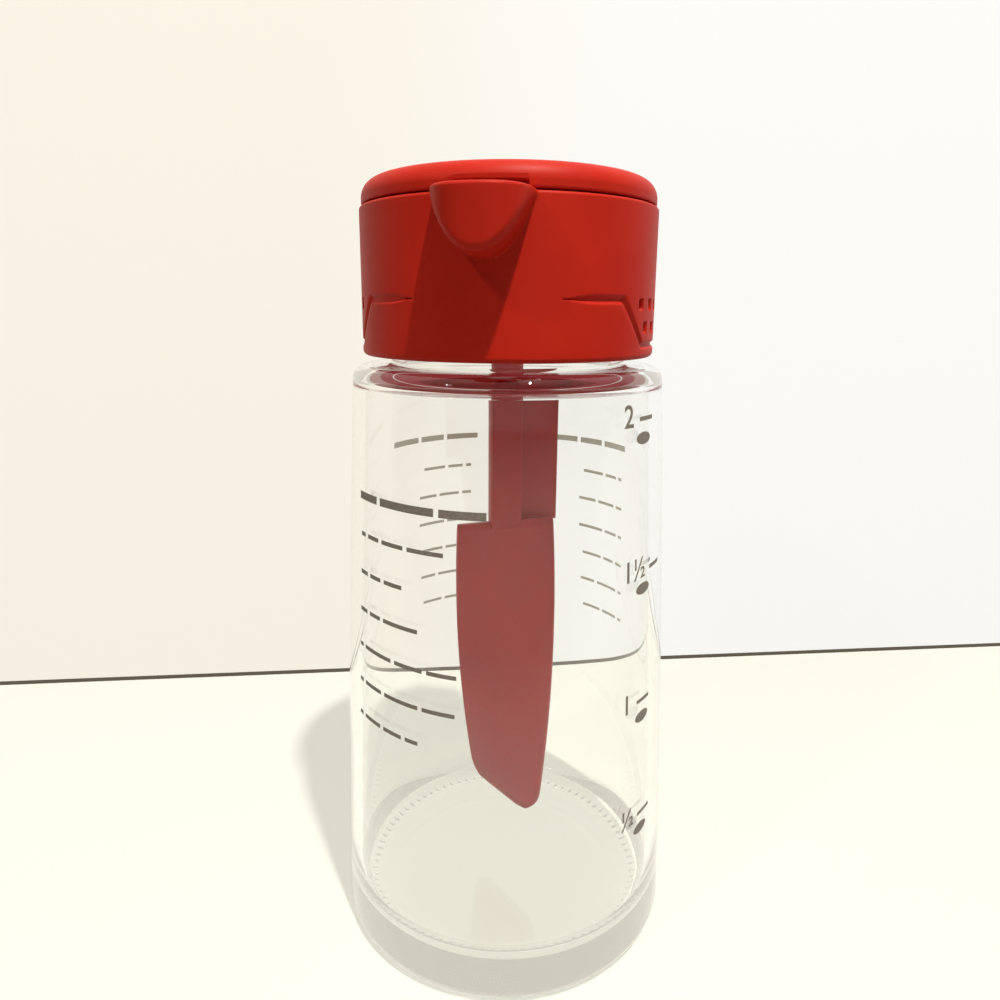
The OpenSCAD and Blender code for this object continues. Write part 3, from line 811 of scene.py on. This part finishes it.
def make_blade(material):
    """The mixing blade: a twisted bar whose section narrows in a quarter circle at the tip,
    a stem of two strips joined by a web, and the round spigot."""
    shell = Shell()
    edge, least_half_t = 0.9, 0.55
    tip_end, top_end = 0.9, 0.45
    spigot_foot, neck_depth, neck_w, spigot_round = 1.8, 0.5, 1.4, 0.5
    t = np.linspace(0, 1, 66)
    z = blade_bottom + (blade_top - blade_bottom) * t
    below = np.clip((blade_bottom + tip_round - z) / tip_round, 0, 1)
    half = blade_half - tip_round * (1 - np.sqrt(1 - below ** 2))
    end = np.minimum((z - blade_bottom) / tip_end, (blade_top - z) / top_end)
    half_t = blade_t / 2 * np.sqrt(np.clip(1 - (1 - np.clip(end, 0, 1)) ** 2, 0.0, 1))
    half_t = np.maximum(half_t, least_half_t)
    corners = np.stack([np.stack([-half, half, half, -half], -1),
                        np.stack([-half_t, -half_t, half_t, half_t], -1)], -1)
    sections = rounded_outline(corners, np.minimum(edge, half_t * 0.95))
    grid = swept(sections, z, blade_dir - blade_turn * (1 - t))
    shell.grid(np.swapaxes(grid, 0, 1), around=True)
    shell.flat(grid[0][::-1]).flat(grid[-1])
    h = stem_t / 2
    corners = [(-stem_left, -h), (stem_right, -h), (stem_right, rear_back - h),
               (stem_right + rear_w, rear_back - h), (stem_right + rear_w, rear_back + h),
               (stem_right - stem_t, rear_back + h), (stem_right - stem_t, h), (-stem_left, h)]
    section = rounded_outline(corners, 0.35, 3)
    stem_z = np.array([blade_top - 1.5, blade_top, (blade_top + socket_z) / 2, socket_z - 0.8,
                       socket_z - 0.45, socket_z - 0.32])
    shrink = np.array([1, 1, 1, 1, 0.995, 0.97])[:, None, None]
    grid = swept(section[None] * shrink, stem_z, blade_dir + 0 * stem_z)
    shell.grid(np.swapaxes(grid, 0, 1), around=True)
    shell.flat(grid[0][::-1]).flat(grid[-1])
    groove_z = socket_z + 7.0
    groove_top = groove_z + neck_w
    groove_r, round_r = spigot_r - neck_depth, spigot_r - spigot_round
    spigot = chain(line(0, socket_z - spigot_foot, spigot_r, socket_z - spigot_foot),
                   line(spigot_r, socket_z - spigot_foot, spigot_r, groove_z, 2),
                   line(spigot_r, groove_z, groove_r, groove_z),
                   line(groove_r, groove_z, groove_r, groove_top),
                   line(groove_r, groove_top, spigot_r, groove_top),
                   arc(round_r, spigot_top - spigot_round, spigot_round, 0, 90, 4),
                   line(round_r, spigot_top, 0, spigot_top))
    shell.grid(turned(spigot, full_turn(48)), around=True)
    shell.piece("mixing_blade", material, "mixer", "blade_plastic", ["agitator"], crease=40)


def on_glass(azimuth, z):
    """Points that lie just outside the glass wall."""
    radius = glass_r(z) + ink_lift
    a = np.radians(azimuth)
    return np.stack([radius * np.sin(a), -radius * np.cos(a), z + 0 * a], axis=-1)


def bar_on_glass(shell, azimuth, z, length, height):
    """A printed bar: a grid along the wall that starts at an azimuth."""
    steps = max(int(length / 0.8), 2)
    t = np.linspace(0, 1, steps + 1)[:, None]
    v = np.linspace(-0.5, 0.5, 4)[None, :]
    along = np.degrees(length * t / glass_r(z))
    shell.grid(on_glass(azimuth + along + 0 * v, z + v * height + 0 * t))


def ellipse_on_glass(shell, azimuth, z, width, height):
    """A printed spot: rings of an ellipse laid on the wall."""
    a = np.radians(full_turn(40))[:, None]
    r = np.linspace(0, 1, 5)[None, :]
    u = width / 2 * r * np.cos(a)
    shell.grid(on_glass(azimuth + np.degrees(u / glass_r(z)), z + height / 2 * r * np.sin(a)),
               around=True)


def numerals_on_glass(shell, words, azimuth, z, size):
    """Plain numerals from the built-in font, cut fine and laid on the wall."""
    curve = bpy.data.curves.new("numeral", "FONT")
    curve.body = words
    curve.size = size
    curve.align_x = "LEFT"
    curve.offset = 0.014 * size
    curve.resolution_u = 4
    letter = bpy.data.objects.new("numeral", curve)
    bpy.context.collection.objects.link(letter)
    bpy.context.view_layer.update()
    mesh = letter.evaluated_get(bpy.context.evaluated_depsgraph_get()).to_mesh()
    build = bmesh.new()
    build.from_mesh(mesh)
    bmesh.ops.triangulate(build, faces=build.faces)
    for _ in range(2):
        long_edges = [e for e in build.edges if e.calc_length() > 0.9]
        bmesh.ops.subdivide_edges(build, edges=long_edges, cuts=1)
        bmesh.ops.triangulate(build, faces=build.faces)
    co = np.array([v.co[:] for v in build.verts])
    faces = [[v.index for v in f.verts] for f in build.faces]
    build.free()
    bpy.data.objects.remove(letter)
    bpy.data.curves.remove(curve)
    points = on_glass(azimuth + np.degrees(co[:, 0] / glass_r(z)), z + co[:, 1])
    shell.patch(points, faces)


def make_scale(material):
    """The measuring scale: a numeral, a short rule and a spot for each half cup."""
    shell = Shell()
    marks = ((125.1, "2", 5.2), (92.6, "1½", 10.2), (62.4, "1", 5.2), (33.8, "½", 6.4))
    for z, words, rule_from in marks:
        ellipse_on_glass(shell, 60.0, z, 5.7, 2.6)
        numerals_on_glass(shell, words, 48.8, z + 2.6, 6.5)
        bar_on_glass(shell, 49.0 + math.degrees(rule_from / glass_r(z)), z + 4.0, 5.6, 0.9)
    shell.piece("scale_print", material, "bottle", closed=False)


def rules_on_glass(shell, azimuth, z, lengths, height):
    """A row of printed rules, one after another, as long as listed."""
    for length in lengths:
        bar_on_glass(shell, azimuth, z, length, height)
        azimuth += math.degrees((length + print_gap) / glass_r(z))


def make_front_panel(material):
    """A generic panel: a heavy rule on top and rows of short rules under it."""
    shell = Shell()
    rows = ((103.5, (2.0, 4.2, 6.4, 8.6)), (95.0, (3.2, 4.0, 5.4)), (86.4, (3.2, 4.0, 9.8)),
            (78.0, (1.4, 9.6, 7.4, 6.8)), (69.5, (1.6, 6.4, 9.6, 7.6)),
            (61.3, (1.6, 6.2, 5.6, 3.4)))
    rules_on_glass(shell, -51.0, 111.9, (7.4, 14.4, 9.8), 1.7)
    for z, lengths in rows:
        rules_on_glass(shell, -49.5, z, lengths, 0.95)
    shell.piece("front_print", material, "bottle", closed=False)


def make_back_panels(material):
    """Two more generic panels on the far side, seen through the glass."""
    shell = Shell()
    rows = ((107.5, (1.6, 4.6, 7.2)), (99.5, (2.8, 6.4, 6.0)), (91.5, (1.6, 5.0, 8.8)),
            (83.5, (3.0, 4.2, 7.0)), (75.5, (1.6, 8.2, 5.2)), (67.5, (1.6, 6.0, 6.6)))
    for azimuth in (122.0, -158.0):
        rules_on_glass(shell, azimuth, 116.0, (9.6, 7.8, 10.4), 1.5)
        for z, lengths in rows:
            rules_on_glass(shell, azimuth + 3, z, lengths, 0.8)
    shell.piece("back_print", material, "bottle", closed=False)


def camera_sides():
    """Level directions to the camera's right and away from it."""
    heading = math.radians(camera_azimuth)
    return (Vector((math.cos(heading), math.sin(heading), 0)),
            Vector((-math.sin(heading), math.cos(heading), 0)))


def make_stage():
    """A pale floor, a pale wall behind it, which shows only from its front, and a dark strip of
    painted shade where they meet."""
    right, away = camera_sides()
    reach = 3.0
    joint_h = 0.0015

    def plane(name, corners, material):
        mesh = bpy.data.meshes.new(name)
        mesh.from_pydata([tuple(c) for c in corners], [], [(0, 1, 2, 3)])
        mesh.materials.append(material)
        thing = bpy.data.objects.new(name, mesh)
        bpy.context.collection.objects.link(thing)

    up = Vector((0, 0, 1))
    floor = [side * right * reach + way * away * reach - up * 0.0002
             for side, way in ((-1, -1), (1, -1), (1, 1), (-1, 1))]
    plane("floor", floor, stage_finish("floor_paper", (0.96, 0.95, 0.90, 1),
                                       colour(252, 250, 235), 0.6, one_sided=False))
    foot_left = -right * 0.128 + away * 0.106
    foot_right = right * 0.134 + away * 0.1335
    along = (foot_right - foot_left).normalized()
    foot = foot_left - along * reach
    end = foot + along * 2 * reach
    # The wall's shown colour is cream on the left and white on the right: painted shade on its
    # left side.
    plane("wall", [foot + up * joint_h, end + up * joint_h, end + up * 2, foot + up * 2],
          stage_finish("wall_paper", (0.98, 0.96, 0.90, 1), colour(252, 246, 232), 0.8,
                       unshaded_right=colour(255, 255, 252)))
    # A dark strip of painted shade along the foot of the wall.
    plane("joint", [foot - up * 0.001, end - up * 0.001, end + up * joint_h, foot + up * joint_h],
          stage_finish("joint_shade", colour(120, 112, 98), colour(96, 88, 76), 0.7))


def stage_finish(name, paint, shown, share, one_sided=True, unshaded_right=None):
    """A pale surface: part plain paint, which keeps shadows, and part its shown colour, for
    the camera, mirrors and glass alike. Rays that only carry light find a dimmer paint, so
    that the floor doesn't flood the object. On the wall the shown colour is painted darker
    towards the left, as painted shade. In reflections the floor near and behind the camera
    is shown dim, a painted dark reflection."""
    unseen_paint = (0.30, 0.29, 0.26, 1)
    # Painted dark reflection: the colour that glossy rays see on the floor near and behind the
    # camera.
    dim_floor_reflection = (0.30, 0.28, 0.25, 1)
    material = bpy.data.materials.new(name)
    shop = Finish(material)
    path = shop.add("LightPath")
    outputs = path.socket.node.outputs
    seen = Value(shop, outputs["Is Camera Ray"]).larger(
        Value(shop, outputs["Is Glossy Ray"])).larger(
        Value(shop, outputs["Is Transmission Ray"]))
    body = shop.add("BsdfDiffuse", inputs={"Color": shop.blend(seen, unseen_paint, paint)})
    spot = shop.add("SeparateXYZ", inputs=[shop.place()])
    # Painted shade: the shown colour darkens towards the left of the wall.
    if unshaded_right:
        shown = shop.blend(spot.between(-0.09, 0.03), shown, unshaded_right)
    else:
        # Painted dark reflection: reflections of the floor near and behind the camera are shown
        # dim.
        near = Value(shop, spot.socket.node.outputs[1]).between(-0.26, -0.09)
        direct = 1.0 - Value(shop, outputs["Glossy Depth"]).between(0.0, 1.0)
        shown = shop.blend(near.larger(direct), dim_floor_reflection, shown)
    glow = shop.add("Emission", inputs={"Color": shown, "Strength": 1.0})
    mixed = shop.add("MixShader", inputs={0: seen * share, 1: body, 2: glow})
    if one_sided:
        behind = Value(shop, shop.add("NewGeometry").socket.node.outputs["Backfacing"])
        clear = shop.add("BsdfTransparent")
        mixed = shop.add("MixShader", inputs={0: behind, 1: mixed, 2: clear})
    shop.finish(mixed)
    return material


def make_world():
    """Soft room light; mirrors and glass see a bright room with dimmer sides."""
    world = bpy.data.worlds.new("room")
    bpy.context.scene.world = world
    shop = Finish(world)
    path = shop.add("LightPath")
    outputs = path.socket.node.outputs
    camera = Value(shop, outputs["Is Camera Ray"])
    mirror = Value(shop, outputs["Is Glossy Ray"]).larger(
        Value(shop, outputs["Is Transmission Ray"]))
    direction = shop.add("TexCoord", output="Generated")
    split = shop.add("SeparateXYZ", inputs=[direction])
    side = Value(shop, split.socket.node.outputs[0])
    front = Value(shop, split.socket.node.outputs[1])
    above = Value(shop, split.socket.node.outputs[2]).larger(0.0)
    dim = 1.0 - 0.55 * (side * side).between(0.25, 0.95) - 0.6 * (0.0 - front).between(0.1, 0.7)
    light = shop.add("Background", inputs={"Color": (1.0, 0.97, 0.92, 1),
                                           "Strength": 0.25 + 0.22 * side - 0.1 * above})
    white = shop.add("Background", inputs={"Color": (1.0, 0.985, 0.93, 1), "Strength": 1.0})
    room = shop.add("Background", inputs={"Color": (1.0, 0.975, 0.93, 1), "Strength": dim})
    mixed = shop.add("MixShader", inputs={0: mirror, 1: light, 2: room})
    mixed = shop.add("MixShader", inputs={0: camera, 1: mixed, 2: white})
    shop.finish(mixed, "OutputWorld")


def make_lamp(name, towards, size, power, tint):
    """A round soft lamp that shines at the lid from a direction given in the camera's frame."""
    distance = 1.3
    right, away = camera_sides()
    way = (right * towards[0] + away * towards[1] + Vector((0, 0, towards[2]))).normalized()
    data = bpy.data.lights.new(name, "AREA")
    data.shape = "DISK"
    data.size = size
    data.energy = power
    data.color = tint
    lamp = bpy.data.objects.new(name, data)
    lamp.location = Vector((0, 0, 0.12)) + way * distance
    lamp.rotation_mode = "QUATERNION"
    lamp.rotation_quaternion = (-way).to_track_quat("-Z", "Y")
    bpy.context.collection.objects.link(lamp)


def make_camera():
    """The photograph's camera: a pinhole in front of the lid, pitched down and rolled a little."""
    azimuth = math.radians(camera_azimuth)
    heading = azimuth + math.atan((axis_px - frame_px / 2) / focal_px)
    pitch, roll = math.radians(camera_pitch), math.radians(camera_roll)
    level = Vector((-math.sin(heading), math.cos(heading), 0))
    right = Vector((math.cos(heading), math.sin(heading), 0))
    forward = level * math.cos(pitch) - Vector((0, 0, math.sin(pitch)))
    up = right.cross(forward)
    rolled_right = right * math.cos(roll) + up * math.sin(roll)
    rolled_up = up * math.cos(roll) - right * math.sin(roll)
    data = bpy.data.cameras.new("camera")
    data.sensor_width = 36.0
    data.lens = data.sensor_width * focal_px / frame_px
    data.clip_start = 0.005
    camera = bpy.data.objects.new("camera", data)
    place = Vector((camera_distance * math.sin(azimuth), -camera_distance * math.cos(azimuth),
                    camera_height)) * MM
    camera.matrix_world = Matrix((
        (rolled_right.x, rolled_up.x, -forward.x, place.x),
        (rolled_right.y, rolled_up.y, -forward.y, place.y),
        (rolled_right.z, rolled_up.z, -forward.z, place.z),
        (0, 0, 0, 1)))
    bpy.context.collection.objects.link(camera)
    bpy.context.scene.camera = camera


def dress_node(node, material):
    """Gives a CAD node that stays in sight its finish."""
    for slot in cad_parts[node].material_slots:
        slot.material = material


bpy.context.scene.view_settings.view_transform = "Standard"
lid_red = satin_plastic("lid_red", colour(198, 40, 23), colour(188, 34, 18), 0.4, 0.16, 0.13)
inner_red = satin_plastic("inner_red", colour(184, 26, 14), colour(174, 22, 12), 0.34, 0.08)
blade_red = satin_plastic("blade_red", colour(176, 24, 16), colour(164, 20, 14), 0.3, 0.05, 0.4)
silicone = milky_silicone()
steel = drawn_steel()
ink = screen_print("front_print", colour(146, 138, 126), colour(118, 110, 100))
# The back print uses the same ink painted paler: a painted veil of the glass reflections it is
# seen through.
faint_ink = screen_print("back_print", colour(196, 188, 176), colour(172, 164, 152))

make_camera()
make_stage()
make_world()
make_lamp("ceiling_lamp", (0.19, -0.33, 0.925), size=0.05, power=19.5, tint=(1.0, 0.95, 0.88))
make_lamp("side_lamp", (-0.56, -0.5, 0.66), size=0.1, power=3.0, tint=(1.0, 0.93, 0.86))
make_glass(clear_glass_finish())
make_collar(lid_red)
make_cap(lid_red)
make_blade(blade_red)
make_scale(ink)
make_front_panel(ink)
make_back_panels(faint_ink)
for node in ("lug_ring", "pour_deck", "cap_plate"):
    dress_node(node, inner_red)
for node in ("rim_gasket", "spout_stopper", "vent_stopper", "stem_ring"):
    dress_node(node, silicone)
dress_node("hinge_pin", steel)
